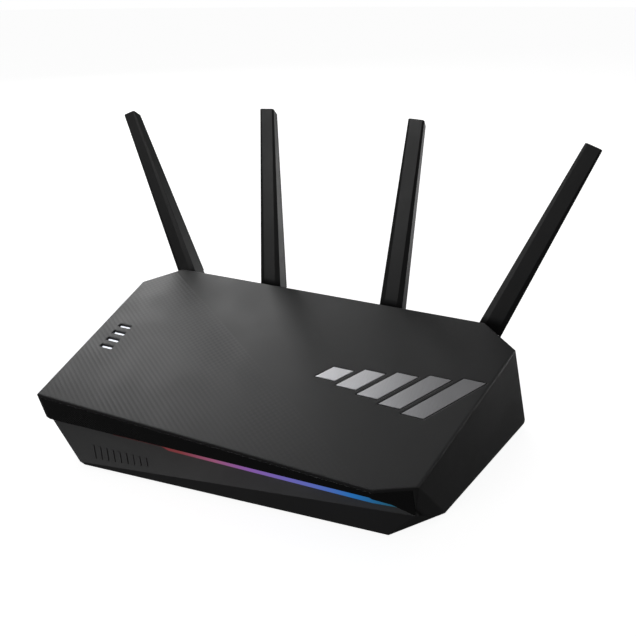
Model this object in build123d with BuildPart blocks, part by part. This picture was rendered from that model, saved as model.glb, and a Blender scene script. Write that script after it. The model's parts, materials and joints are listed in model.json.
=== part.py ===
from build123d import *
from math import cos, radians, sin, tan
import os

os.makedirs("parts", exist_ok=True)

# ======================================================================================
# Wireless router with four hinged aerials. Millimetres.
# x runs to the right, y to the back, z up. z = 0 is the underside of the base, and the
# origin is midway between the two wall-mounting keyholes.
# ======================================================================================

# ---- casing outline ------------------------------------------------------------------
casing_width = 265.0      # left wall to the widest point of the right wall, about
panel_depth = 127.5       # top panel, front edge to rear edge, measured level
front_y = -75.5           # front edge of the top panel
front_z = 36.5            # height of that edge
panel_slope = 16.2        # the top panel rises towards the back, degrees
rear_rake = 13.3          # the rear wall leans out at the foot, degrees
side_flare = 13.5         # the right wall opens towards the back, degrees
front_lean = 10.8         # the front band leans in at the foot, degrees
shoulder = 21.5           # corner cut at the left rear, along the rear edge
shoulder_back = 20.0      # the same cut, along the left edge
right_shoulder = 29.5     # rear edge's right end, in from the widest point
right_shoulder_back = 17.8
nose_in = 31.6            # right end of the front corner cut, in from the widest point
nose_back = 8.2
nose_cut = 19.9           # width of the front corner cut
heel_back = 39.7          # foot of the right wall's front edge, back from front_y
ridge_radius = 1.2        # rounded ridges around the top panel
wall = 2.4                # top cover
seam = 0.3                # gap between separate casing pieces

# ---- chin: the lower front ------------------------------------------------------------
chin_in = 35.5            # bottom left corner, in from the left wall
chin_ahead = 6.7          # the same corner, ahead of front_y
chin_turn = 5.74          # the chin recedes to the right, degrees
chin_right_in = 46.3      # bottom right corner, in from the widest point
lip_left_z = 1.5          # height of the chin's lip at its left end
lip_right_z = 16.5        # and at its right end
lip_right_in = 33.4
chin_wall = 2.0
chin_reach = 17.5         # how far behind front_y the chin's bevel runs
bevel_start = (5.0, 4.2, 15.3)  # a point high on the bevel: in from the left wall, behind front_y, up
rib_count = 9             # slanted ribs on the bevel, near its left end
rib_first = 9.0
rib_pitch = 4.4
rib_width = 1.7
rib_foot = 3.0            # above the lip, up the bevel
rib_height = 7.5
rib_fall = 0.35           # each next rib is this much shorter
rib_proud = 0.45
keel_z = 17.8             # height of the cut-away under the left wall
keel_x = 35.5             # and its width

# ---- light band in the front ----------------------------------------------------------
band_wall = 2.2
band_left_z = 16.5        # lower edge of the front band at the left wall
band_right_z = 30.2       # and at the nose
band_corner_in = 53.9     # where that edge turns down, in from the widest point
nose_bend_in = 43.8       # where it turns down again, on the nose
nose_bend_z = 25.3
guide_gap = 0.4
guide_thick = 2.0
guide_left_in = 45.5      # left tip of the light guide, in from the left wall
guide_tip = (38.0, 2.9)   # length of its thin left tip, and how far that hangs below the band
guide_left_drop = 4.7     # how far the guide hangs below the band at the left
guide_right_drop = 6.2    # and at the nose
guide_nose_drop = 4.4     # and at the bend on the nose
guide_cover = 3.0         # how far it reaches up behind the band
led_size = (3.0, 1.6, 1.0)
led_gap = 0.1             # between the diodes and the guide
led_count = 12
led_margin = 8.0          # first diode, in from the full-height part of the guide
strip_board = (2.5, 1.6, 2.4, 0.8)   # beyond the end diodes, below, above, thickness
board_thick = 1.6

# ---- indicators and emblem on the top panel ------------------------------------------
indicator_count = 4
indicator_pitch = 6.6
indicator_in = 16.7       # centre of the row, in from the left wall
indicator_first = 47.6    # first indicator, up the slope from the front edge
indicator_length = 8.0
indicator_width = 1.6
indicator_recess = 1.3
recess_margin = 0.7
lens_play = 0.1
lens_margin = 2.4         # the plate that joins the lenses inside is this much wider
lens_plate = 1.0
emblem_in = 67.5          # centre of the emblem, in from the widest point
emblem_up = 67.0          # and up the slope
emblem_bars = 5
emblem_pitch = 16.0
emblem_bar_width = 12.0
emblem_short = 10.0       # height of the shortest bar
emblem_step = 6.0         # each next bar is this much taller
emblem_slant = 36.0       # degrees
emblem_depth = 0.7
emblem_gap = 0.45
emblem_proud = 0.05

# ---- base ------------------------------------------------------------------------------
floor_thick = 2.2
tray_wall = 2.0
rim_z = 15.0
foot_radius = 6.8
foot_height = 3.0
foot_recess = 0.8
foot_play = 0.2
foot_round = 0.8
foot_places = [(-86.0, -64.0), (80.0, -48.0), (-86.0, 54.0), (110.0, 54.0)]
keyhole_spacing = 120.0
keyhole_head_radius = 4.2
keyhole_slot_radius = 2.2
keyhole_travel = 9.0
post_places = [(-90.0, -44.0), (93.0, -34.0), (-90.0, 40.0), (112.0, 36.0)]
post_radius = 3.4
cover_screw_radius = 1.5
cover_screw_length = 12.0
screw_play = 0.05
screw_hole_play = 0.2
screw_head_radius = 2.8
screw_sunk = 0.2          # the heads sit this far inside the underside
screw_point = 1.0
screw_cross = (3.2, 0.7)
screw_cross_depth = 0.8
vent_slot = (26.0, 2.6)
vent_pitch = 6.0
vent_rows = (-26.0, 14.0)
vent_count = 15
rear_vent_slot = (12.0, 2.2)
rear_vent_z = 41.0
rear_vent_pitch = 4.4
rear_vent_count = 7

# ---- main board -------------------------------------------------------------------------
board_z = 8.0
board_half_width = 84.0
board_front_y = -48.0
standoff_places = [(-76.0, -40.0), (76.0, -40.0), (-76.0, 26.0), (76.0, 26.0)]
standoff_radius = 3.0
board_screw_radius = 1.2
board_screw_length = 5.0
board_screw_head = (2.3, 1.3)
chip_side = 22.0
chip_height = 1.6
chip_place = (-6.0, -8.0)
pad_thick = 0.5
pad_margin = 2.0
sink_size = (72.0, 52.0)
sink_plate = 2.5
sink_fin_height = 10.0
sink_fins = 9
sink_fin_thick = 1.6
can_size = (34.0, 28.0)
can_height = 3.4
can_wall = 0.4
can_places = [(-62.0, -14.0), (58.0, -14.0)]
capacitor_size = (3.6, 9.0)
capacitor_places = [(70.0, 8.0), (60.0, 8.0), (50.0, 12.0)]

# ---- rear port bay -----------------------------------------------------------------------
bay_left = -96.0
bay_right = 92.0
bay_top = 28.0
panel_thick = 2.3
panel_setback = 1.4       # the port panel stands this far inside the rear wall at bay_top
flange_reach = 2.5
bay_depth = 13.0          # the tray is open this far in from the rear foot
port_play = 0.2
port_proud = 0.4
port_count = 5            # one WAN jack and four LAN jacks
port_pitch = 18.2
port_first_x = 21.0       # WAN jack; the LAN jacks follow towards the left
jack_size = (16.0, 20.5, 13.4)
socket_size = (11.8, 13.0, 7.4)
socket_lift = 3.4         # socket floor above the jack's foot
latch_size = (6.2, 2.4)
contact_count = 8
contact_pitch = 1.02
contact_size = (0.5, 9.0, 0.3)
contact_gap = 0.05
contact_middle = 7.0      # middle of the contacts, in from the jack's face
usb_x = 44.0
usb_size = (14.6, 14.0, 7.2)
usb_opening = (12.5, 5.2)
usb_depth = 9.5
usb_tongue = (11.0, 8.5, 1.9)
usb_tongue_lift = 1.0
power_x = 80.0
power_size = (9.4, 14.0, 11.0)
power_bore = 3.2
power_pin = 1.05
power_pin_length = 9.0
power_bore_depth = 10.0
switch_x = 64.0
switch_size = 8.0
switch_travel = 2.2
switch_proud = 2.6
power_switch_side = 9.0
small_switch_side = 6.0
switch_depth = 5.0
wps_x = -81.0
wps_radius = 2.8
wps_travel = 0.8
wps_proud = 1.2
reset_x = -70.0
reset_radius = 1.0
reset_travel = 0.5
reset_depth = 0.6         # the reset button stays inside its hole
button_play = 0.3
button_body = 6.0
button_flange = 1.0
flange_lip = 1.2
button_z = 16.0

# ---- aerials -----------------------------------------------------------------------------
aerial_x = [-112.5, -47.0, 40.0, 102.0]
aerial_fan = [-21.0, -2.8, 2.8, 20.0]     # swivel as stored, degrees, + leans right
aerial_z = 55.0
aerial_lean = [3.0, 6.0, 6.0, 6.0]        # fold as stored, degrees behind upright
hinge_behind = 10.4       # fold axis behind the rear wall's surface at its height
bush_radius = 8.4
bush_length = 8.0
bush_gap = 0.1
shaft_radius = 5.0
shaft_play = 0.05
shaft_end = 1.5           # the shaft passes this far through the bush
head_radius = 8.0
head_thick = 1.8
head_gap = 0.3
knuckle_radius = 5.5
ear_thick = 3.0
tongue_width = 5.8
tongue_play = 0.3
tongue_neck = 8.0
pin_radius = 2.0
pin_play = 0.05
blade_start = 8.5         # the blade's body begins this far above the fold axis
blade_length = 129.0      # fold axis to tip
blade_root = (15.4, 11.2)
blade_tip = (9.8, 4.8)
blade_root_facet = (3.5, 1.4)
blade_tip_facet = (1.1, 0.5)
blade_tip_slope = 0.75    # the tip falls towards the back
blade_wall = 1.2
cheek_radius = 5.0        # the shell's cheeks beside the ears
blade_end_wall = 5.0
blade_back = 1.8          # thickness of the back cover
back_gap = 0.1
element_size = (5.0, 0.8, 96.0)
element_start = 8.0       # the copper element, above the blade's foot
lead_radius = 0.9
lead_play = 0.6
lead_bend = 5.0
lead_run = 12.0           # each lead runs this far straight in, and this far down, before it bends
lead_socket = (1.8, 2.0)
lead_socket_y = 30.0
lead_socket_x = [-66.0, -34.0, 30.0, 42.0]


# ======================================================================================
# Casing outline: corner points, then the plane of each flat face
# ======================================================================================
half_width = casing_width / 2
rear_y = front_y + panel_depth


def on_panel(x, y):
    """Point of the sloping top panel above (x, y)."""
    return Vector(x, y, front_z + (y - front_y) * tan(radians(panel_slope)))


def on_right_wall(y, z):
    """Point of the right wall at a depth and a height."""
    return Vector(nose_right.X + (y - nose_right.Y) * tan(radians(side_flare)), y, z)


def on_chin_front(x, z):
    """Point of the chin's upright front face."""
    return Vector(x, chin_left.Y + (x - chin_left.X) * tan(radians(chin_turn)), z)


def through(a, b, c):
    """Plane through three points, its normal given by their right-handed order."""
    return Plane(origin=a, x_dir=b - a, z_dir=(b - a).cross(c - a))


left_front = on_panel(-half_width, front_y)
left_side = on_panel(-half_width, rear_y - shoulder_back)
left_rear = on_panel(-half_width + shoulder, rear_y)
right_rear = on_panel(half_width - right_shoulder, rear_y)
nose_right = on_panel(half_width - nose_in, front_y + nose_back)
nose_left = on_panel(half_width - nose_in - nose_cut, front_y)
right_side = on_right_wall(rear_y - right_shoulder_back, 0)
right_side = on_panel(right_side.X, right_side.Y)
rear_foot_y = rear_y + right_rear.Z * tan(radians(rear_rake))
left_foot = Vector(-half_width, rear_foot_y, 0)
right_foot = on_right_wall(rear_foot_y, 0)
heel = on_right_wall(front_y + heel_back, 0)
chin_left = Vector(-half_width + chin_in, front_y - chin_ahead, 0)
chin_right = on_chin_front(half_width - chin_right_in, 0)
lip_left = on_chin_front(-half_width + chin_in - 2 * lip_left_z, lip_left_z)
lip_right = on_chin_front(half_width - lip_right_in, lip_right_z)
bevel_left = Vector(-half_width + bevel_start[0], front_y + bevel_start[1], bevel_start[2])

panel = Plane(
    origin=(0, front_y, front_z),
    x_dir=(1, 0, 0),
    z_dir=(0, -sin(radians(panel_slope)), cos(radians(panel_slope))),
)
front_band = Plane(
    origin=left_front,
    x_dir=(1, 0, 0),
    z_dir=(0, -cos(radians(front_lean)), -sin(radians(front_lean))),
)
rear_wall = Plane(
    origin=(0, rear_y, right_rear.Z),
    x_dir=(-1, 0, 0),
    z_dir=(0, cos(radians(rear_rake)), sin(radians(rear_rake))),
)
left_wall = Plane(origin=left_front, z_dir=(-1, 0, 0))
underside = Plane(origin=(0, 0, 0), z_dir=(0, 0, -1))
keel = Plane(origin=(-half_width + keel_x, 0, 0), z_dir=(-keel_z, 0, -keel_x))
right_wall = through(nose_right, heel, right_foot)
rear_right_facet = through(right_rear, right_side, right_foot)
rear_left_facet = through(left_rear, left_foot, left_side)
nose_face = through(nose_left, lip_right, nose_right)
nose_side = through(nose_right, lip_right, heel)
chin_front = through(chin_left, chin_right, lip_right)
chin_bevel = through(lip_left, lip_right, bevel_left)
chin_side = through(chin_right, heel, lip_right)

casing_faces = {
    "top": panel,
    "left": left_wall,
    "front": front_band,
    "nose": nose_face,
    "nose_side": nose_side,
    "right": right_wall,
    "rear": rear_wall,
    "rear_right": rear_right_facet,
    "rear_left": rear_left_facet,
    "keel": keel,
    "floor": underside,
    "chin_side": chin_side,
}
base_faces = {
    "chin_front": chin_front,
    "chin_bevel": chin_bevel,
    "chin_side": chin_side,
    "nose_side": nose_side,
    "left": left_wall,
    "right": right_wall,
    "rear": rear_wall,
    "rear_right": rear_right_facet,
    "rear_left": rear_left_facet,
    "keel": keel,
    "floor": underside,
}
work_box = 2.5 * casing_width
front_names = ("front", "nose", "nose_side")
chin_names = ("chin_front", "chin_bevel", "chin_side", "nose_side")


def block(faces, insets=None, rest=0.0):
    """Solid within a set of faces, each moved inwards by its inset, the others by rest."""
    insets = insets or {}
    with BuildPart() as solid:
        Box(work_box, work_box, work_box)
        for name, face in faces.items():
            split(bisect_by=face.offset(-insets.get(name, rest)), keep=Keep.BOTTOM)
    return solid.part


def without(faces, *names):
    """The same faces, with some left out."""
    return {name: face for name, face in faces.items() if name not in names}


def upright(y):
    """Plane facing the back at a depth, its x to the right seen from the front."""
    return Plane(origin=(0, y, 0), x_dir=(1, 0, 0), z_dir=(0, -1, 0))


def finish(part, label):
    """Name a finished piece and write it."""
    part.label = label
    export_step(part, f"parts/{label}.step")


# ---- lower edge of the front band, and the light guide's lower edge, in x and z ----------
band_corner = Vector(half_width - band_corner_in, 0, band_right_z)
nose_bend = (half_width - nose_bend_in, nose_bend_z)
band_rise = (band_right_z - band_left_z) / (band_corner.X + half_width)


def band_edge(x):
    """Height of the band's lower edge left of the nose."""
    return band_left_z + (x + half_width) * band_rise


# ======================================================================================
# Casing
# ======================================================================================
with BuildPart() as casing:
    add(block(casing_faces))
    ridges = casing.edges().filter_by(lambda edge: edge.center().Y > front_y / 2)
    ridges = ridges.filter_by(lambda edge: edge.center().Z > 1.1 * keel_z)
    fillet(ridges, ridge_radius)

rear_y_at_bay_top = rear_y + (right_rear.Z - bay_top) * tan(radians(rear_rake))
port_face_y = rear_y_at_bay_top - panel_setback
bay_centre_x = (bay_left + bay_right) / 2
bay_width = bay_right - bay_left
hinge_wall_y = rear_y + (right_rear.Z - aerial_z) * tan(radians(rear_rake))
fold_y = hinge_wall_y + hinge_behind
head_back_y = fold_y - knuckle_radius
bush_back_y = head_back_y - head_thick - head_gap
bush_front_y = bush_back_y - bush_length
shaft_front_y = bush_front_y - shaft_end
row_centre = indicator_first + indicator_pitch * (indicator_count - 1) / 2
row_x = -half_width + indicator_in
emblem_x = half_width - emblem_in


def emblem_sketch(grow):
    """Slanted bars that step up to the right, each grown by a margin."""
    with BuildSketch() as bars:
        for index in range(emblem_bars):
            height = emblem_short + emblem_step * index
            lean = height * tan(radians(emblem_slant))
            x = (index - (emblem_bars - 1) / 2) * emblem_pitch - lean / 2
            with BuildLine():
                Polyline(
                    (x - emblem_bar_width / 2, -height / 2),
                    (x + emblem_bar_width / 2, -height / 2),
                    (x + emblem_bar_width / 2 + lean, height / 2),
                    (x - emblem_bar_width / 2 + lean, height / 2),
                    close=True,
                )
            make_face()
        if grow:
            offset(amount=grow, kind=Kind.INTERSECTION)
    return bars.sketch


with BuildPart() as top_cover:
    add(casing.part)
    cavity = without(casing_faces, "keel", "floor", "chin_side", *front_names)
    add(block(cavity, rest=wall), mode=Mode.SUBTRACT)
    # screw posts under the top panel
    with BuildSketch(Plane.XY.offset(floor_thick)):
        with Locations(*post_places):
            Circle(post_radius)
    extrude(until=Until.NEXT)
    with BuildSketch(Plane.XY.offset(floor_thick)):
        with Locations(*post_places):
            Circle(cover_screw_radius + screw_play)
    extrude(amount=cover_screw_length, mode=Mode.SUBTRACT)
    # sockets for the aerial bushes
    with BuildSketch(upright(bush_back_y)):
        with Locations(*[(x, aerial_z) for x in aerial_x]):
            Circle(bush_radius + bush_gap)
    extrude(amount=4 * wall, both=True, mode=Mode.SUBTRACT)
    # port bay
    with BuildSketch(upright(rear_y)):
        with Locations((bay_centre_x, 0)):
            Rectangle(bay_width, 2 * bay_top)
    extrude(amount=-2 * rear_foot_y, mode=Mode.SUBTRACT)
    # cooling slots in the rear wall, between the aerials
    vent_groups = [(aerial_x[i] + aerial_x[i + 1]) / 2 for i in range(3)]
    with BuildSketch(rear_wall):
        for x in vent_groups:
            with Locations((-x, -(right_rear.Z - rear_vent_z))):
                with GridLocations(rear_vent_pitch, 1, rear_vent_count, 1):
                    SlotOverall(*rear_vent_slot, rotation=90)
    extrude(amount=-3 * wall, mode=Mode.SUBTRACT)
    # indicator recesses, each with a slot for its lens
    with BuildSketch(panel):
        with Locations((row_x, row_centre)):
            with GridLocations(1, indicator_pitch, 1, indicator_count):
                RectangleRounded(
                    indicator_length + 2 * recess_margin,
                    indicator_width + 2 * recess_margin,
                    recess_margin,
                )
    extrude(amount=-indicator_recess, mode=Mode.SUBTRACT)
    with BuildSketch(panel):
        with Locations((row_x, row_centre)):
            with GridLocations(1, indicator_pitch, 1, indicator_count):
                Rectangle(indicator_length, indicator_width)
    extrude(amount=-2 * wall, mode=Mode.SUBTRACT)
    # pocket for the emblem
    with BuildSketch(panel):
        with Locations((emblem_x, emblem_up)):
            add(emblem_sketch(emblem_gap))
    extrude(amount=-emblem_depth, mode=Mode.SUBTRACT)
finish(top_cover.part, "top_cover")

# ---- front band: leaning strip under the panel's front edge, and the nose -----------------
band_insets = {"top": wall + seam / 2, "right": wall + seam / 2, "left": wall + seam / 2}
with BuildPart() as front_band_part:
    add(block(casing_faces, band_insets))
    inner = {name: band_wall for name in front_names}
    add(block(casing_faces, inner, rest=-wall), mode=Mode.SUBTRACT)
    with BuildSketch(Plane.XZ):
        with BuildLine():
            Polyline(
                (-half_width - wall, band_edge(-half_width - wall)),
                (band_corner.X, band_corner.Z),
                nose_bend,
                (lip_right.X, lip_right.Z),
                (heel.X, -wall),
                (-half_width - wall, -wall),
                close=True,
            )
        make_face()
    extrude(amount=casing_width, both=True, mode=Mode.SUBTRACT)
    add(block(base_faces, rest=-seam), mode=Mode.SUBTRACT)
finish(front_band_part.part, "front_band")

# ---- light guide behind the band's lower edge ----------------------------------------------
guide_front = band_wall + guide_gap
guide_back = guide_front + guide_thick
guide_left = -half_width + guide_left_in
guide_full = guide_left + guide_tip[0]
guide_insets = {name: guide_front for name in front_names}
guide_insets.update({"top": 2 * wall, "right": 2 * wall, "left": 2 * wall})
with BuildPart() as light_guide:
    add(block(casing_faces, guide_insets))
    add(block(casing_faces, {name: guide_back for name in front_names}, rest=-wall), mode=Mode.SUBTRACT)
    with BuildSketch(Plane.XZ):
        with BuildLine():
            Polyline(
                (guide_left, band_edge(guide_left)),
                (guide_left + guide_tip[1], band_edge(guide_left) - guide_tip[1]),
                (guide_full, band_edge(guide_full) - guide_tip[1]),
                (guide_full + guide_left_drop, band_edge(guide_full) - guide_left_drop),
                (band_corner.X, band_corner.Z - guide_right_drop),
                (nose_bend[0], nose_bend[1] - guide_nose_drop),
                (lip_right.X, lip_right.Z + seam),
                (lip_right.X, lip_right.Z + guide_cover),
                (band_corner.X, band_corner.Z + guide_cover),
                (guide_left, band_edge(guide_left) + guide_cover),
                close=True,
            )
        make_face()
    extrude(amount=casing_width, both=True, mode=Mode.INTERSECT)
    add(block(base_faces, rest=-seam), mode=Mode.SUBTRACT)
finish(light_guide.part, "light_guide")

# ---- light-emitting diodes and their narrow board, behind the guide ------------------------
led_span = band_corner.X - guide_full - 2 * led_margin
led_base = front_band.offset(-(guide_back + led_gap + led_size[2]))
led_points = []
for index in range(led_count):
    x = guide_full + led_margin + led_span * index / (led_count - 1)
    height = (band_edge(x) + guide_cover / 2 - front_z) / cos(radians(front_lean))
    led_points.append((x + half_width, height))
with BuildPart() as light_leds:
    with BuildSketch(led_base):
        with Locations(*led_points):
            Rectangle(led_size[0], led_size[1])
    extrude(amount=led_size[2])
finish(light_leds.part, "light_leds")

strip_beyond, strip_below, strip_above, strip_thick = strip_board
first_x, first_z = led_points[0]
last_x, last_z = led_points[-1]
with BuildPart() as light_board:
    with BuildSketch(led_base):
        with BuildLine():
            Polyline(
                (first_x - strip_beyond, first_z - strip_below),
                (last_x + strip_beyond, last_z - strip_below),
                (last_x + strip_beyond, last_z + strip_above),
                (first_x - strip_beyond, first_z + strip_above),
                close=True,
            )
        make_face()
    extrude(amount=-strip_thick)
finish(light_board.part, "light_board")

# ---- chin -------------------------------------------------------------------------------------
shell_gap = wall + seam
chin_insets = {"left": shell_gap, "right": shell_gap, "rear": shell_gap}
# the bevel stops at chin_reach; the chin's right side goes on to the heel
side_insets = {"chin_side": chin_wall, "nose_side": chin_wall}
with BuildPart() as behind_chin:
    add(block(without(base_faces, "chin_front", "chin_bevel"), side_insets, rest=-wall))
    split(bisect_by=upright(front_y + chin_reach), keep=Keep.BOTTOM)
with BuildPart() as front_chin:
    add(block(base_faces, chin_insets))
    add(block(base_faces, {name: chin_wall for name in chin_names}, rest=-wall), mode=Mode.SUBTRACT)
    add(behind_chin.part, mode=Mode.SUBTRACT)
    # row of slanted ribs on the bevel, near its left end
    rib_plane = Plane(origin=lip_left, x_dir=lip_right - lip_left, z_dir=chin_bevel.z_dir)
    with BuildSketch(rib_plane):
        for index in range(rib_count):
            x = rib_first + rib_pitch * index
            top = rib_foot + rib_height - rib_fall * index
            lean = (top - rib_foot) / 2
            with BuildLine():
                Polyline(
                    (x, rib_foot),
                    (x + rib_width, rib_foot),
                    (x + rib_width - lean, top),
                    (x - lean, top),
                    close=True,
                )
            make_face()
    extrude(amount=rib_proud)
finish(front_chin.part, "front_chin")

# ---- base tray -------------------------------------------------------------------------------
tray_insets = {name: chin_wall + seam / 2 for name in chin_names}
tray_insets.update({"keel": 0.0, "floor": 0.0})
tray_inner = {name: inset + tray_wall for name, inset in tray_insets.items()}
tray_inner["floor"] = floor_thick
with BuildPart() as base_tray:
    add(block(base_faces, tray_insets, rest=shell_gap))
    add(block(base_faces, tray_inner, rest=shell_gap + tray_wall), mode=Mode.SUBTRACT)
    split(bisect_by=Plane.XY.offset(rim_z), keep=Keep.BOTTOM)
    # open behind the port panel
    with BuildSketch(Plane.XY.offset(floor_thick)):
        with Locations((bay_centre_x, rear_foot_y)):
            Rectangle(bay_width + 2 * flange_reach + 2 * seam, 2 * bay_depth)
    extrude(amount=rim_z, mode=Mode.SUBTRACT)
    # board standoffs
    with BuildSketch(Plane.XY.offset(floor_thick)):
        with Locations(*standoff_places):
            Circle(standoff_radius)
    extrude(amount=board_z - floor_thick)
    with BuildSketch(Plane.XY.offset(board_z)):
        with Locations(*standoff_places):
            Circle(board_screw_radius + screw_play)
    extrude(amount=-(board_z - floor_thick), mode=Mode.SUBTRACT)
    # foot recesses
    with BuildSketch(Plane.XY):
        with Locations(*foot_places):
            Circle(foot_radius + foot_play)
    extrude(amount=foot_recess, mode=Mode.SUBTRACT)
    # countersunk screw holes
    for x, y in post_places:
        with Locations(Plane(origin=(x, y, 0), z_dir=(0, 0, -1))):
            CounterSinkHole(
                cover_screw_radius + screw_hole_play, screw_head_radius + screw_hole_play, depth=floor_thick
            )
    # keyholes for hanging on a wall
    with BuildSketch(Plane.XY):
        with Locations((-keyhole_spacing / 2, 0), (keyhole_spacing / 2, 0)):
            Circle(keyhole_head_radius)
            with Locations((0, keyhole_travel / 2)):
                SlotCenterToCenter(keyhole_travel, 2 * keyhole_slot_radius, rotation=90)
    extrude(amount=floor_thick, mode=Mode.SUBTRACT)
    # cooling slots
    with BuildSketch(Plane.XY):
        with Locations(*[(0, y) for y in vent_rows]):
            with GridLocations(vent_pitch, 1, vent_count, 1):
                SlotOverall(*vent_slot, rotation=90)
    extrude(amount=floor_thick, mode=Mode.SUBTRACT)
finish(base_tray.part, "base_tray")

with BuildPart() as rubber_feet:
    with BuildSketch(Plane.XY.offset(-foot_height)):
        with Locations(*foot_places):
            Circle(foot_radius)
    extrude(amount=foot_height + foot_recess)
    low_rims = rubber_feet.edges().filter_by(GeomType.CIRCLE).group_by(Axis.Z)[0]
    fillet(low_rims, foot_round)
finish(rubber_feet.part, "rubber_feet")

with BuildPart() as cover_screws:
    for x, y in post_places:
        with BuildSketch(Plane(origin=(x, y, 0), x_dir=(1, 0, 0), z_dir=(0, -1, 0))):
            with BuildLine():
                Polyline(
                    (0, screw_sunk),
                    (screw_head_radius, screw_sunk),
                    (cover_screw_radius, screw_sunk + screw_head_radius - cover_screw_radius),
                    (cover_screw_radius, cover_screw_length - screw_point),
                    (0, cover_screw_length),
                    close=True,
                )
            make_face()
        revolve(axis=Axis((x, y, 0), (0, 0, 1)))
        with BuildSketch(Plane.XY.offset(screw_sunk)):
            with Locations((x, y)):
                Rectangle(*screw_cross)
                Rectangle(*screw_cross, rotation=90)
        extrude(amount=screw_cross_depth, mode=Mode.SUBTRACT)
finish(cover_screws.part, "cover_screws")

# ---- port panel --------------------------------------------------------------------------------
board_rear_y = port_face_y - panel_thick - flange_reach
board_top = board_z + board_thick
jack_z = board_top + jack_size[2] / 2
usb_z = board_top + usb_size[2] / 2
power_z = board_top + power_size[2] / 2
port_xs = [port_first_x - port_pitch * index for index in range(port_count)]
with BuildPart() as rear_panel:
    with BuildSketch(upright(port_face_y)):
        with Locations((bay_centre_x, floor_thick)):
            Rectangle(bay_width - 2 * seam, bay_top - floor_thick - seam, align=(Align.CENTER, Align.MIN))
    extrude(amount=panel_thick)
    with BuildSketch(upright(port_face_y - panel_thick)):
        with Locations((bay_centre_x, floor_thick)):
            Rectangle(
                bay_width + 2 * flange_reach,
                bay_top - floor_thick + flange_reach,
                align=(Align.CENTER, Align.MIN),
            )
    extrude(amount=panel_thick)
    with BuildSketch(upright(port_face_y)):
        with Locations(*[(x, jack_z) for x in port_xs]):
            Rectangle(jack_size[0] + 2 * port_play, jack_size[2] + 2 * port_play)
        with Locations((usb_x, usb_z)):
            Rectangle(usb_size[0] + 2 * port_play, usb_size[2] + 2 * port_play)
        with Locations((power_x, power_z)):
            Rectangle(power_size[0] + 2 * port_play, power_size[2] + 2 * port_play)
        with Locations((switch_x, button_z)):
            Rectangle(switch_size + 2 * button_play, switch_size + 2 * button_play)
        with Locations((wps_x, button_z)):
            Circle(wps_radius + button_play)
        with Locations((reset_x, button_z)):
            Circle(reset_radius + button_play)
    extrude(amount=3 * panel_thick, mode=Mode.SUBTRACT)
finish(rear_panel.part, "rear_panel")

# ---- jacks ---------------------------------------------------------------------------------------
jack_face_y = port_face_y + port_proud
socket_z = board_top + socket_lift + socket_size[2] / 2
for index, x in enumerate(port_xs):
    with BuildPart() as jack:
        with BuildSketch(upright(jack_face_y)):
            with Locations((x, jack_z)):
                Rectangle(jack_size[0], jack_size[2])
        extrude(amount=jack_size[1])
        with BuildSketch(upright(jack_face_y)):
            with Locations((x, socket_z)):
                Rectangle(socket_size[0], socket_size[2])
            with Locations((x, socket_z - socket_size[2] / 2)):
                Rectangle(latch_size[0], latch_size[1], align=(Align.CENTER, Align.MAX))
        extrude(amount=socket_size[1], mode=Mode.SUBTRACT)
    finish(jack.part, "wan_jack" if index == 0 else f"lan_jack_{index}")

with BuildPart() as jack_contacts:
    with BuildSketch(Plane.XY.offset(socket_z + socket_size[2] / 2 - contact_gap)):
        with Locations(*[(x, jack_face_y - contact_middle) for x in port_xs]):
            with GridLocations(contact_pitch, 1, contact_count, 1):
                Rectangle(contact_size[0], contact_size[1])
    extrude(amount=-contact_size[2])
finish(jack_contacts.part, "jack_contacts")

with BuildPart() as usb_port:
    with BuildSketch(upright(jack_face_y)):
        with Locations((usb_x, usb_z)):
            Rectangle(usb_size[0], usb_size[2])
    extrude(amount=usb_size[1])
    with BuildSketch(upright(jack_face_y)):
        with Locations((usb_x, usb_z)):
            Rectangle(*usb_opening)
    extrude(amount=usb_depth, mode=Mode.SUBTRACT)
finish(usb_port.part, "usb_port")

with BuildPart() as usb_contact_tongue:
    with BuildSketch(upright(jack_face_y - usb_depth)):
        with Locations((usb_x, usb_z + usb_tongue_lift)):
            Rectangle(usb_tongue[0], usb_tongue[2])
    extrude(amount=-usb_tongue[1])
finish(usb_contact_tongue.part, "usb_contact_tongue")

with BuildPart() as power_inlet:
    with BuildSketch(upright(jack_face_y)):
        with Locations((power_x, power_z)):
            Rectangle(power_size[0], power_size[2])
    extrude(amount=power_size[1])
    with BuildSketch(upright(jack_face_y)):
        with Locations((power_x, power_z)):
            Circle(power_bore)
    extrude(amount=power_bore_depth, mode=Mode.SUBTRACT)
finish(power_inlet.part, "power_inlet")

with BuildPart() as power_inlet_pin:
    with BuildSketch(upright(jack_face_y - power_bore_depth)):
        with Locations((power_x, power_z)):
            Circle(power_pin)
    extrude(amount=-power_pin_length)
finish(power_inlet_pin.part, "power_inlet_pin")

# ---- buttons: a face in its hole, and a flange inside that keeps it there ------------------------
flange_face_y = port_face_y - 2 * panel_thick - button_play / 2
with BuildPart() as power_button:
    with BuildSketch(upright(port_face_y + switch_proud)):
        with Locations((switch_x, button_z)):
            RectangleRounded(switch_size, switch_size, 1.0)
    extrude(amount=switch_proud + 2 * panel_thick + button_body)
    with BuildSketch(upright(flange_face_y)):
        with Locations((switch_x, button_z)):
            Rectangle(switch_size + 2 * flange_lip, switch_size + 2 * flange_lip)
    extrude(amount=button_flange)
    chamfer(power_button.faces().sort_by(Axis.Y)[-1].edges(), 0.5)
finish(power_button.part, "power_button")

with BuildPart() as wps_button:
    with BuildSketch(upright(port_face_y + wps_proud)):
        with Locations((wps_x, button_z)):
            Circle(wps_radius)
    extrude(amount=wps_proud + 2 * panel_thick + button_body)
    with BuildSketch(upright(flange_face_y)):
        with Locations((wps_x, button_z)):
            Circle(wps_radius + flange_lip)
    extrude(amount=button_flange)
    chamfer(wps_button.faces().sort_by(Axis.Y)[-1].edges(), 0.4)
finish(wps_button.part, "wps_button")

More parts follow.
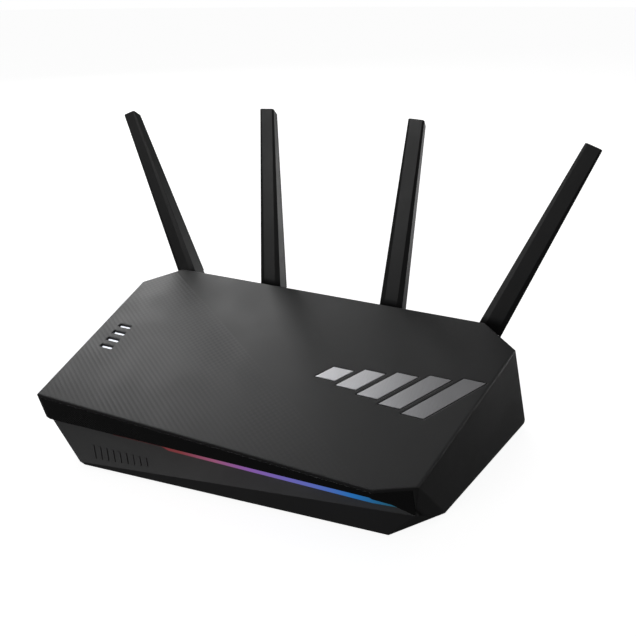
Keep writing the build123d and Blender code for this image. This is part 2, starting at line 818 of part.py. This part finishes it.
with BuildPart() as reset_button:
    with BuildSketch(upright(port_face_y - reset_depth)):
        with Locations((reset_x, button_z)):
            Circle(reset_radius)
    extrude(amount=2 * panel_thick + button_body - reset_depth)
    with BuildSketch(upright(flange_face_y)):
        with Locations((reset_x, button_z)):
            Circle(reset_radius + flange_lip)
    extrude(amount=button_flange)
finish(reset_button.part, "reset_button")

# switches that the buttons press, standing on the board
button_end_y = port_face_y - 2 * panel_thick - button_body
with BuildPart() as button_switches:
    for x, side, travel in (
        (switch_x, power_switch_side, switch_travel),
        (wps_x, small_switch_side, wps_travel),
        (reset_x, small_switch_side, reset_travel),
    ):
        with BuildSketch(upright(button_end_y - travel - button_play)):
            with Locations((x, board_top)):
                Rectangle(side, button_z + side / 2 - board_top, align=(Align.CENTER, Align.MIN))
        extrude(amount=switch_depth)
finish(button_switches.part, "button_switches")

# ======================================================================================
# Inside
# ======================================================================================
with BuildPart() as main_board:
    with BuildSketch(Plane.XY.offset(board_z)):
        with Locations((0, board_front_y)):
            Rectangle(2 * board_half_width, board_rear_y - board_front_y, align=(Align.CENTER, Align.MIN))
        with Locations(*standoff_places):
            Circle(board_screw_radius + screw_hole_play, mode=Mode.SUBTRACT)
    extrude(amount=board_thick)
finish(main_board.part, "main_board")

with BuildPart() as board_screws:
    with BuildSketch(Plane.XY.offset(board_top)):
        with Locations(*standoff_places):
            Circle(board_screw_head[0])
    extrude(amount=board_screw_head[1])
    with BuildSketch(Plane.XY.offset(board_top)):
        with Locations(*standoff_places):
            Circle(board_screw_radius)
    extrude(amount=-board_screw_length)
finish(board_screws.part, "board_screws")

with BuildPart() as processor:
    with BuildSketch(Plane.XY.offset(board_top)):
        with Locations(chip_place):
            Rectangle(chip_side, chip_side)
    extrude(amount=chip_height)
finish(processor.part, "processor")

with BuildPart() as thermal_pad:
    with BuildSketch(Plane.XY.offset(board_top + chip_height)):
        with Locations(chip_place):
            Rectangle(chip_side - pad_margin, chip_side - pad_margin)
    extrude(amount=pad_thick)
finish(thermal_pad.part, "thermal_pad")

sink_z = board_top + chip_height + pad_thick
with BuildPart() as heat_sink:
    with BuildSketch(Plane.XY.offset(sink_z)):
        with Locations(chip_place):
            Rectangle(*sink_size)
    extrude(amount=sink_plate)
    with BuildSketch(Plane.XY.offset(sink_z + sink_plate)):
        with Locations(chip_place):
            with GridLocations((sink_size[0] - sink_fin_thick) / (sink_fins - 1), 1, sink_fins, 1):
                Rectangle(sink_fin_thick, sink_size[1])
    extrude(amount=sink_fin_height)
finish(heat_sink.part, "heat_sink")

with BuildPart() as radio_shields:
    with BuildSketch(Plane.XY.offset(board_top)):
        with Locations(*can_places):
            Rectangle(*can_size)
    extrude(amount=can_height)
    with BuildSketch(Plane.XY.offset(board_top)):
        with Locations(*can_places):
            Rectangle(can_size[0] - 2 * can_wall, can_size[1] - 2 * can_wall)
    extrude(amount=can_height - can_wall, mode=Mode.SUBTRACT)
finish(radio_shields.part, "radio_shields")

with BuildPart() as capacitors:
    with BuildSketch(Plane.XY.offset(board_top)):
        with Locations(*capacitor_places):
            Circle(capacitor_size[0])
    extrude(amount=capacitor_size[1])
    fillet(capacitors.edges().filter_by(GeomType.CIRCLE).group_by(Axis.Z)[-1], 0.5)
finish(capacitors.part, "capacitors")

# ---- indicator lenses, and the emblem -------------------------------------------------------------
with BuildPart() as indicator_lenses:
    with BuildSketch(panel.offset(-indicator_recess)):
        with Locations((row_x, row_centre)):
            with GridLocations(1, indicator_pitch, 1, indicator_count):
                Rectangle(indicator_length - lens_play, indicator_width - lens_play)
    extrude(amount=-(wall - indicator_recess))
    with BuildSketch(panel.offset(-wall)):
        with Locations((row_x, row_centre)):
            Rectangle(indicator_length + lens_margin, indicator_pitch * indicator_count)
    extrude(amount=-lens_plate)
finish(indicator_lenses.part, "indicator_lenses")

with BuildPart() as emblem:
    with BuildSketch(panel.offset(-emblem_depth)):
        with Locations((emblem_x, emblem_up)):
            add(emblem_sketch(0))
    extrude(amount=emblem_depth + emblem_proud)
finish(emblem.part, "emblem")

# ======================================================================================
# Aerials
# ======================================================================================
with BuildPart() as aerial_bushes:
    with BuildSketch(upright(bush_back_y)):
        with Locations(*[(x, aerial_z) for x in aerial_x]):
            Circle(bush_radius)
            Circle(shaft_radius + shaft_play, mode=Mode.SUBTRACT)
    extrude(amount=bush_length)
finish(aerial_bushes.part, "aerial_bushes")


def blade_section(plane, size, facet, inset=0.0):
    """Section of a blade: a rectangle with its two front corners cut back."""
    width = size[0] / 2 - inset
    depth = size[1] / 2 - inset
    cut_x = facet[0]
    cut_y = facet[1]
    with BuildSketch(plane) as section:
        with BuildLine():
            Polyline(
                (-width, depth),
                (-width, -depth + cut_y),
                (-width + cut_x, -depth),
                (width - cut_x, -depth),
                (width, -depth + cut_y),
                (width, depth),
                close=True,
            )
        make_face()
    return section.sketch


def blade_solid(frame, inset, low, high):
    """Tapered blade between two heights above the fold axis."""
    start = blade_section(frame.offset(low), blade_root, blade_root_facet, inset)
    end = blade_section(frame.offset(high), blade_tip, blade_tip_facet, inset)
    with BuildPart() as solid:
        loft(sections=[start, end])
    return solid.part


for number, (x, fan, lean) in enumerate(zip(aerial_x, aerial_fan, aerial_lean), start=1):
    right = Vector(cos(radians(fan)), 0, -sin(radians(fan)))
    rise = Vector(sin(radians(fan)), 0, cos(radians(fan)))
    back = Vector(0, 1, 0)
    pivot = Vector(x, fold_y, aerial_z)
    along = rise * cos(radians(lean)) + back * sin(radians(lean))
    frame = Plane(origin=pivot, x_dir=right, z_dir=along)
    across = Plane(origin=pivot, x_dir=frame.y_dir, z_dir=right)
    level = Plane(origin=pivot, x_dir=back, z_dir=right)
    barrel = Plane(origin=(x, shaft_front_y, aerial_z), x_dir=right, z_dir=back)
    ear_inner = tongue_width / 2 + tongue_play
    ear_outer = ear_inner + ear_thick
    cheek_inner = ear_outer + tongue_play

    with BuildPart() as swivel:
        with BuildSketch(barrel):
            Circle(shaft_radius)
            Circle(lead_radius + lead_play, mode=Mode.SUBTRACT)
        extrude(amount=bush_back_y + head_gap - shaft_front_y)
        with BuildSketch(barrel.offset(bush_back_y + head_gap - shaft_front_y)):
            Circle(head_radius)
        extrude(amount=head_thick)
        for side in (ear_inner, -ear_outer):
            with BuildSketch(level.offset(side)):
                Circle(knuckle_radius)
                Rectangle(knuckle_radius, 2 * knuckle_radius, align=(Align.MAX, Align.CENTER))
            extrude(amount=ear_thick)
        with BuildSketch(level.offset(-ear_outer)):
            Circle(pin_radius + pin_play)
        extrude(amount=2 * ear_outer, mode=Mode.SUBTRACT)
    finish(swivel.part, f"aerial_swivel_{number}")

    with BuildPart() as pin:
        with BuildSketch(level.offset(-ear_outer)):
            Circle(pin_radius)
        extrude(amount=2 * ear_outer)
        chamfer(pin.edges().filter_by(GeomType.CIRCLE), 0.3)
    finish(pin.part, f"aerial_pin_{number}")

    # the back cover is a plate of even thickness, parallel to the blade's back face
    split_foot = pivot + along * blade_start + frame.y_dir * (blade_root[1] / 2 - blade_back)
    split_tip = pivot + along * blade_length + frame.y_dir * (blade_tip[1] / 2 - blade_back)
    back_half = Plane(origin=split_foot, x_dir=right, z_dir=(split_tip - split_foot).cross(right))
    tip_edge = pivot + along * blade_length - frame.y_dir * (blade_tip[1] / 2)
    tip_face = Plane(origin=tip_edge, x_dir=right, z_dir=along + frame.y_dir * blade_tip_slope)
    outer = blade_solid(frame, 0.0, blade_start, blade_length)
    hollow = blade_solid(frame, blade_wall, blade_start + blade_end_wall, blade_length - blade_end_wall)
    with BuildPart() as shell:
        add(outer)
        split(bisect_by=back_half, keep=Keep.BOTTOM)
        add(hollow, mode=Mode.SUBTRACT)
        split(bisect_by=tip_face, keep=Keep.BOTTOM)
        # tongue between the ears
        with BuildSketch(across.offset(-tongue_width / 2)):
            Circle(knuckle_radius - tongue_play)
            Rectangle(tongue_neck, blade_start, align=(Align.CENTER, Align.MIN))
            Circle(pin_radius + pin_play, mode=Mode.SUBTRACT)
        extrude(amount=tongue_width)
        # cheeks beside the ears
        for side in (cheek_inner, -blade_root[0] / 2):
            with BuildSketch(across.offset(side)):
                Circle(cheek_radius)
                Rectangle(2 * cheek_radius, blade_start, align=(Align.CENTER, Align.MIN))
            extrude(amount=blade_root[0] / 2 - cheek_inner)
    finish(shell.part, f"aerial_shell_{number}")

    with BuildPart() as back_cover:
        add(outer)
        split(bisect_by=back_half.offset(back_gap), keep=Keep.TOP)
        split(bisect_by=tip_face, keep=Keep.BOTTOM)
    finish(back_cover.part, f"aerial_back_{number}")

    with BuildPart() as element:
        with BuildSketch(frame.offset(blade_start + element_start)):
            Rectangle(element_size[0], element_size[1])
        extrude(amount=element_size[2])
    finish(element.part, f"aerial_element_{number}")

# ---- coaxial leads from the swivels down to the board ---------------------------------------------
socket_radius, socket_height = lead_socket
lead_ends = [(x, lead_socket_y) for x in lead_socket_x]
with BuildPart() as lead_sockets:
    with BuildSketch(Plane.XY.offset(board_top)):
        with Locations(*lead_ends):
            Circle(socket_radius)
    extrude(amount=socket_height)
finish(lead_sockets.part, "lead_sockets")

lead_start_y = shaft_front_y - seam
with BuildPart() as aerial_leads:
    for x, (end_x, end_y) in zip(aerial_x, lead_ends):
        start = Vector(x, lead_start_y, aerial_z)
        with BuildLine() as route:
            FilletPolyline(
                start,
                (x, lead_start_y - lead_run, aerial_z),
                (end_x, end_y, aerial_z - lead_run),
                (end_x, end_y, board_top + socket_height),
                radius=lead_bend,
            )
        with BuildSketch(Plane(origin=start, z_dir=(0, -1, 0))):
            Circle(lead_radius)
        sweep(path=route.line)
finish(aerial_leads.part, "aerial_leads")
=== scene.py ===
"""Looks of the wireless router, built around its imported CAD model.

Metres, in the CAD frame: x right, y back, z up. Materials work in millimetres of that frame.
"""

import json
import math

import bpy
from mathutils import Matrix, Vector


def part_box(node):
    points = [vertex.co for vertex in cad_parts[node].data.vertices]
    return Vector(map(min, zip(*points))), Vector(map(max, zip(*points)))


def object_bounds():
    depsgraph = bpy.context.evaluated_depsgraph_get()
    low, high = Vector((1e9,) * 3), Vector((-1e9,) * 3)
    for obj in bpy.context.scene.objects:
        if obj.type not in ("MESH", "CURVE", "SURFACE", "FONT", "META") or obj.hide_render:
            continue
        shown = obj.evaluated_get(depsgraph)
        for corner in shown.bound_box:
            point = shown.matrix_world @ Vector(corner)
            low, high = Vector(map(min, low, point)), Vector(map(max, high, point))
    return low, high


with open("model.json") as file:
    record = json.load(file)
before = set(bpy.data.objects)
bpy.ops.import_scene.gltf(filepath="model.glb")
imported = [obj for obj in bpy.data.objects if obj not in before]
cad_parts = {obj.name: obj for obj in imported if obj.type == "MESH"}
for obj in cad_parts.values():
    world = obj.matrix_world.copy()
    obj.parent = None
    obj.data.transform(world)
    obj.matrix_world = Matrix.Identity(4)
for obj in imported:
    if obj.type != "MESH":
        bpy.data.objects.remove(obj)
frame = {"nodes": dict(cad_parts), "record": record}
cad_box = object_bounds()
nodes = frame["nodes"]
MM = 0.001

# ---- driving values --------------------------------------------------------------------
panel_slope = math.radians(16.2)        # the top panel rises towards the back
panel_front = -75.5                     # the panel's front edge, millimetres
cover_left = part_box("top_cover")[0].x / MM
guide_left, guide_right = (corner.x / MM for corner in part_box("light_guide"))
emblem_left, emblem_right = (corner.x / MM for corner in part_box("emblem"))


# ======================================================================================
# Node materials
# ======================================================================================
class Look:
    """A Principled material built from small node chains. Its coordinates are millimetres in the CAD frame."""

    def __init__(self, name, color, roughness, metallic=0.0, **inputs):
        self.material = bpy.data.materials.new(name)
        self.material.use_nodes = True
        self.tree = self.material.node_tree
        self.shader = self.tree.nodes["Principled BSDF"]
        self.set("Base Color", (*color, 1.0))
        self.set("Roughness", roughness)
        self.set("Metallic", metallic)
        for key, value in inputs.items():
            self.set(key.replace("_", " "), value)
        coordinates = self.node("ShaderNodeTexCoord").outputs["Object"]
        self.place = self.vector("SCALE", coordinates, scale=1.0 / MM)

    def node(self, kind, **settings):
        made = self.tree.nodes.new(kind)
        for key, value in settings.items():
            setattr(made, key, value)
        return made

    def plug(self, socket, value):
        if isinstance(value, bpy.types.NodeSocket):
            self.tree.links.new(value, socket)
        else:
            socket.default_value = value

    def set(self, name, value):
        self.plug(self.shader.inputs[name], value)

    def math(self, operation, a, b=0.0):
        made = self.node("ShaderNodeMath", operation=operation)
        self.plug(made.inputs[0], a)
        self.plug(made.inputs[1], b)
        return made.outputs[0]

    def vector(self, operation, a, b=(0.0, 0.0, 0.0), scale=None):
        made = self.node("ShaderNodeVectorMath", operation=operation)
        self.plug(made.inputs[0], a)
        self.plug(made.inputs[1], b)
        if scale is not None:
            made.inputs["Scale"].default_value = scale
        return made.outputs["Value" if operation == "DOT_PRODUCT" else "Vector"]

    def along(self, direction):
        """Distance along a direction, in millimetres."""
        return self.vector("DOT_PRODUCT", self.place, direction)

    def normal(self, direction):
        """How far the true surface normal points in a direction, -1 to 1."""
        return self.vector("DOT_PRODUCT", self.node("ShaderNodeNewGeometry").outputs["True Normal"], direction)

    def smooth(self, value, low, high, to_low=0.0, to_high=1.0):
        """Smooth step of a value from low to high."""
        made = self.node("ShaderNodeMapRange", interpolation_type="SMOOTHSTEP")
        for socket, number in zip(made.inputs, (value, low, high, to_low, to_high)):
            self.plug(socket, number)
        return made.outputs[0]

    def noise(self, scale, detail=2.0, roughness=0.5, stretch=None):
        """Noise from 0 to 1 with about `scale` features per millimetre."""
        made = self.node("ShaderNodeTexNoise")
        place = self.place if stretch is None else self.vector("MULTIPLY", self.place, stretch)
        self.plug(made.inputs["Vector"], place)
        made.inputs["Scale"].default_value = scale
        made.inputs["Detail"].default_value = detail
        made.inputs["Roughness"].default_value = roughness
        return made.outputs["Fac"]

    def waves(self, direction, pitch):
        """Parallel ridges across a direction, 0 to 1."""
        turn = self.math("MULTIPLY", self.along(direction), 2 * math.pi / pitch)
        return self.math("MULTIPLY_ADD", self.math("SINE", turn), 0.5)

    def shades(self, factor, low, high):
        """A colour between two, by a factor."""
        made = self.node("ShaderNodeMix", data_type="RGBA")
        self.plug(made.inputs["Factor"], factor)
        made.inputs["A"].default_value = (*low, 1.0)
        made.inputs["B"].default_value = (*high, 1.0)
        return made.outputs["Result"]

    def ramp(self, factor, stops):
        """A colour ramp through (position, colour) stops."""
        made = self.node("ShaderNodeValToRGB")
        self.plug(made.inputs["Fac"], factor)
        elements = made.color_ramp.elements
        while len(elements) < len(stops):
            elements.new(0.5)
        for element, (position, color) in zip(elements, stops):
            element.position = position
            element.color = (*color, 1.0)
        return made.outputs["Color"]

    def rounded(self, radius):
        """Normal with edges rounded by a radius in millimetres."""
        made = self.node("ShaderNodeBevel", samples=4)
        made.inputs["Radius"].default_value = radius * MM
        return made.outputs["Normal"]

    def relief(self, height, depth, normal=None):
        """Bump from a 0 to 1 height over a depth in millimetres; each call adds to the last."""
        made = self.node("ShaderNodeBump")
        made.inputs["Strength"].default_value = 1.0
        made.inputs["Distance"].default_value = depth * MM
        self.plug(made.inputs["Height"], height)
        if normal is not None:
            self.plug(made.inputs["Normal"], normal)
        self.set("Normal", made.outputs["Normal"])
        return made.outputs["Normal"]


def varied(look, low, high, scale):
    """Slow drift of the colour between two shades."""
    look.set("Base Color", look.shades(look.noise(scale, 3.0), low, high))


def grey(value):
    return (value, value, value * 1.03)


def moulded(name, shade, roughness, grain=6.0, depth=0.03, edge=0.35, **inputs):
    """Moulded matte plastic: fine grain, slight drift in shade and roughness, rounded edges."""
    look = Look(name, grey(shade), roughness, **inputs)
    varied(look, grey(shade * 0.9), grey(shade * 1.1), 0.02)
    look.set("Roughness", look.smooth(look.noise(0.05, 3.0), 0.3, 0.7, roughness - 0.03, roughness + 0.04))
    look.relief(look.noise(grain, 2.0), depth, look.rounded(edge))
    return look


def cover_look():
    """Charcoal cover: fine grain everywhere, thin diagonal ridges on the left part of the panel, their crests
    painted a little lighter as a painted highlight.
    """
    look = Look("cover_plastic", grey(0.026), 0.42)
    on_panel = look.smooth(look.normal((0, -math.sin(panel_slope), math.cos(panel_slope))), 0.97, 0.99)
    pitch = 2.6
    turn = math.radians(34)
    across = (math.sin(turn), math.cos(turn) / math.cos(panel_slope), 0)
    edge = 44 + panel_front * math.cos(turn) / math.cos(panel_slope)
    textured = look.smooth(look.along(across), edge, edge - 1.5)
    fade = look.smooth(look.along((1, -0.4, 0)), -60, 75, 1.0, 0.25)
    patches = look.smooth(look.noise(0.022, 1.0), 0.35, 0.6, 0.45, 1.0)
    strength = look.math("MULTIPLY", look.math("MULTIPLY", textured, on_panel), look.math("MULTIPLY", fade, patches))
    ridges = look.waves(across, pitch)
    turn = math.radians(-52)
    second = look.waves((math.sin(turn), math.cos(turn) / math.cos(panel_slope), 0), pitch)
    woven = look.smooth(look.along(across), edge - 52, edge - 18)
    weave = look.math("ADD", ridges, look.math("MULTIPLY", second, look.math("MULTIPLY", woven, 0.8)))
    height = look.math("MULTIPLY", weave, strength)
    # painted highlight: the base colour follows the ridge height, lighter on the crests and darker in the troughs,
    # on top of the real bump
    shade = look.smooth(height, 0.0, 1.4)
    look.set("Base Color", look.shades(shade, grey(0.024), grey(0.036)))
    look.set("Roughness", look.smooth(look.noise(0.04, 3.0), 0.3, 0.7, 0.4, 0.46))
    grain = look.relief(look.noise(5.0, 2.0), 0.025, look.rounded(1.3))
    look.relief(height, 0.05, grain)
    return look


def band_look():
    """Polished black band, with fine diagonal ridges that are strongest at its left end."""
    look = Look("band_gloss", grey(0.004), 0.22, Coat_Weight=0.4, Coat_Roughness=0.08)
    turn = math.radians(38)
    ridges = look.waves((math.sin(turn), 0, math.cos(turn)), 1.8)
    strength = look.smooth(look.along((1, 0, 0)), cover_left + 24, cover_left + 46, 1.0, 0.12)
    look.set("Roughness", look.smooth(look.noise(0.05, 3.0), 0.3, 0.7, 0.2, 0.28))
    look.relief(look.math("MULTIPLY", ridges, strength), 0.3, look.rounded(0.3))
    return look


def glow_look():
    """Light guide, lit from dark red at the left through violet and blue to green at the right."""
    look = Look("light_guide_glow", grey(0.02), 0.25)
    from_left = look.math("SUBTRACT", look.along((1, 0, 0)), guide_left)
    share = look.math("DIVIDE", from_left, guide_right - guide_left)
    stops = [
        (0.0, (0.03, 0.0, 0.0)),
        (0.12, (0.09, 0.012, 0.012)),
        (0.28, (0.16, 0.03, 0.035)),
        (0.4, (0.24, 0.07, 0.14)),
        (0.52, (0.19, 0.08, 0.3)),
        (0.64, (0.12, 0.1, 0.36)),
        (0.74, (0.07, 0.11, 0.38)),
        (0.84, (0.012, 0.12, 0.36)),
        (0.93, (0.01, 0.08, 0.15)),
        (1.0, (0.012, 0.045, 0.02)),
    ]
    glow = look.ramp(share, stops)
    look.set("Emission Color", glow)
    look.set("Emission Strength", 1.15)
    look.relief(look.noise(1.5, 1.0), 0.02, look.rounded(0.25))
    return look


def metal_look(name, color, roughness, brush=None, scale=3.0, edge=0.2):
    """Metal with fine brushing or grain."""
    look = Look(name, color, roughness, metallic=1.0)
    texture = look.noise(scale, 3.0, 0.6, stretch=brush)
    look.set("Roughness", look.smooth(texture, 0.25, 0.75, roughness - 0.06, roughness + 0.1))
    look.set("Base Color", look.shades(texture, tuple(0.88 * c for c in color), color))
    look.relief(texture, 0.008, look.rounded(edge))
    return look


def emblem_look():
    """Brushed emblem, its base colour painted lighter at the left end and darker at the right: a painted highlight.
    """
    look = metal_look("emblem_brushed_painted_highlight", grey(0.6), 0.36, brush=(1.0, 0.05, 0.05), edge=0.12)
    share = look.smooth(look.along((1, 0, 0)), emblem_left, emblem_right)
    brushing = look.math("MULTIPLY", look.noise(3.0, 3.0, 0.6, stretch=(1.0, 0.05, 0.05)), 0.2)
    # painted highlight: base colour runs from pale grey at the left end to dark grey at the right, standing in for
    # light falling off
    stops = [(0.05, grey(0.9)), (0.5, grey(0.7)), (1.0, grey(0.42))]
    look.set("Base Color", look.ramp(look.math("ADD", share, brushing), stops))
    return look


def lit_look(name, color, strength):
    """Milky lens with a light behind it."""
    look = Look(name, color, 0.3)
    glow = look.shades(look.noise(0.6, 1.0), tuple(0.9 * c for c in color), color)
    look.set("Emission Color", glow)
    look.set("Emission Strength", strength)
    return look


def board_look():
    """Solder mask over faint copper tracks."""
    look = Look("solder_mask", (0.01, 0.06, 0.03), 0.35)
    tracks = look.smooth(look.noise(0.6, 1.0), 0.48, 0.52)
    look.set("Base Color", look.shades(tracks, (0.008, 0.05, 0.025), (0.014, 0.08, 0.04)))
    look.relief(tracks, 0.02)
    return look


looks = {
    "cover": cover_look(),
    "band": band_look(),
    "chin": moulded("chin_plastic", 0.026, 0.46, edge=0.3),
    "tray": moulded("tray_plastic", 0.02, 0.5, grain=3.0, depth=0.05),
    "aerial": moulded("aerial_plastic", 0.014, 0.42, grain=4.0, depth=0.03, edge=0.3),
    "bush": moulded("bush_plastic", 0.02, 0.35),
    "steel": metal_look("zinc_steel", (0.6, 0.6, 0.62), 0.35),
    "emblem": emblem_look(),
    "guide": glow_look(),
    "lens": lit_look("indicator_lens", (0.85, 0.88, 0.95), 1.1),
    "led": lit_look("led_window", (0.9, 0.85, 0.6), 0.4),
    "feet": moulded("foot_rubber", 0.02, 0.8, grain=2.0, depth=0.08),
    "circuit_board": board_look(),
    "chip": moulded("chip_package", 0.03, 0.5),
    "pad": moulded("thermal_silicone", 0.3, 0.8),
    "heat_sink": metal_look("extruded_aluminium", (0.75, 0.76, 0.78), 0.4, brush=(0.05, 1.0, 0.05)),
    "shield": metal_look("tin_plate", (0.66, 0.66, 0.67), 0.25),
    "capacitor": metal_look("capacitor_can", (0.6, 0.6, 0.63), 0.3),
    "contact": metal_look("gold_contact", (0.83, 0.6, 0.22), 0.25),
    "copper": metal_look("copper_element", (0.72, 0.35, 0.2), 0.35),
    "black_parts": moulded("black_fittings", 0.018, 0.4),
    "lead": moulded("lead_jacket", 0.03, 0.5),
    "wan": Look("wan_blue", (0.02, 0.07, 0.26), 0.4),
    "lan": Look("lan_yellow", (0.55, 0.36, 0.02), 0.4),
    "usb_tongue": Look("usb_blue", (0.02, 0.08, 0.35), 0.4),
}
for name, low, high in (
    ("wan", (0.018, 0.06, 0.23), (0.022, 0.08, 0.29)),
    ("lan", (0.5, 0.33, 0.018), (0.6, 0.4, 0.025)),
    ("usb_tongue", (0.018, 0.07, 0.32), (0.022, 0.09, 0.38)),
):
    varied(looks[name], low, high, 0.1)
    looks[name].relief(looks[name].noise(4.0), 0.03, looks[name].rounded(0.2))

slots = {row["node"]: row["material_slot"] for row in frame["record"]["subparts"]}
for name, node in nodes.items():
    node.data.materials.clear()
    node.data.materials.append(looks[slots[name]].material)

# ======================================================================================
# Stage: floor, lights and camera
# ======================================================================================
floor_z = cad_box[0].z


def pale(name, strength, shade):
    """Pale surface that glows a little, so that it stays even behind the object."""
    look = Look(name, (shade, shade, shade), 0.9, Specular_IOR_Level=0.0)
    look.set("Emission Color", (1.0, 1.0, 1.0, 1.0))
    look.set("Emission Strength", strength)
    return look.material


bpy.ops.mesh.primitive_circle_add(vertices=96, radius=12.0, fill_type="NGON", location=(0, 0, floor_z))
floor = bpy.context.object
floor.name = "studio_floor"
floor.data.materials.append(pale("studio_floor_white", 0.9, 0.5))
bpy.ops.mesh.primitive_uv_sphere_add(segments=48, ring_count=24, radius=11.0, location=(0, 0, floor_z))
backdrop = bpy.context.object
backdrop.name = "studio_backdrop"
backdrop.data.materials.append(pale("studio_backdrop_white", 1.0, 0.0))
for surface in (floor, backdrop):
    surface.visible_glossy = False
    surface.visible_diffuse = False
    surface.visible_shadow = False

world = bpy.data.worlds.new("studio")
bpy.context.scene.world = world
world.use_nodes = True
ambient = world.node_tree.nodes["Background"]
ambient.inputs["Color"].default_value = (1.0, 1.0, 1.0, 1.0)
sky = world.node_tree.nodes.new("ShaderNodeTexCoord")
split = world.node_tree.nodes.new("ShaderNodeSeparateXYZ")
fall = world.node_tree.nodes.new("ShaderNodeMapRange")
world.node_tree.links.new(sky.outputs["Generated"], split.inputs["Vector"])
world.node_tree.links.new(split.outputs["Z"], fall.inputs["Value"])
for name, value in (("From Min", -0.3), ("From Max", 0.5), ("To Min", 0.03), ("To Max", 0.15)):
    fall.inputs[name].default_value = value
world.node_tree.links.new(fall.outputs["Result"], ambient.inputs["Strength"])


def softbox(name, toward, distance, size, brightness, aim=(0, 0, 0.06)):
    """Soft rectangular light in a direction from the object; brightness is its radiance."""
    light = bpy.data.lights.new(name, "AREA")
    light.shape = "RECTANGLE"
    light.size, light.size_y = size
    light.energy = brightness * math.pi * size[0] * size[1]
    lamp = bpy.data.objects.new(name, light)
    bpy.context.scene.collection.objects.link(lamp)
    direction = Vector(toward).normalized()
    lamp.location = Vector(aim) + distance * direction
    lamp.rotation_euler = direction.to_track_quat("Z", "Y").to_euler()


# name, direction from the object, distance, size, radiance
for box_light in (
    ("back_left_box", (-0.66, 0.45, 0.6), 1.7, (0.9, 0.8), 4.5),
    ("back_box", (-0.12, 0.84, 0.52), 1.7, (0.8, 0.5), 1.3),
    ("top_box", (0.0, 0.1, 1.0), 1.8, (1.4, 1.0), 0.2),
    ("front_left_box", (-0.38, -0.9, 0.24), 1.6, (0.6, 0.6), 4.8),
    ("right_box", (0.85, 0.33, 0.39), 1.6, (0.5, 0.5), 0.9),
    ("back_right_box", (0.62, 0.75, -0.1), 1.5, (1.1, 0.6), 2.5),
):
    softbox(*box_light)

# ---- camera ---------------------------------------------------------------------------
azimuth, elevation, roll = (math.radians(x) for x in (24.498, 26.293, -0.264))
distance = 0.441616
aim = Vector((0, 0.040, 0.057))
picture = 636                # width and height of a render
focal_length = 680.386       # in picture widths of one pixel
centre = (318.676, 324.182)

back = Vector(
    (
        math.sin(azimuth) * math.cos(elevation),
        -math.cos(azimuth) * math.cos(elevation),
        math.sin(elevation),
    )
)
level = Vector((math.cos(azimuth), math.sin(azimuth), 0))
upward = back.cross(level)
right = math.cos(roll) * level + math.sin(roll) * upward
up = math.cos(roll) * upward - math.sin(roll) * level
lens = bpy.data.cameras.new("camera")
lens.sensor_width = 36.0
lens.lens = focal_length / picture * lens.sensor_width
lens.shift_x = (picture / 2 - centre[0]) / picture
lens.shift_y = (centre[1] - picture / 2) / picture
lens.clip_start, lens.clip_end = 0.01, 100.0
camera = bpy.data.objects.new("camera", lens)
bpy.context.scene.collection.objects.link(camera)
camera.matrix_world = Matrix.Translation(aim + back * distance) @ Matrix((right, up, back)).transposed().to_4x4()
bpy.context.scene.camera = camera
bpy.context.scene.view_settings.view_transform = "Standard"
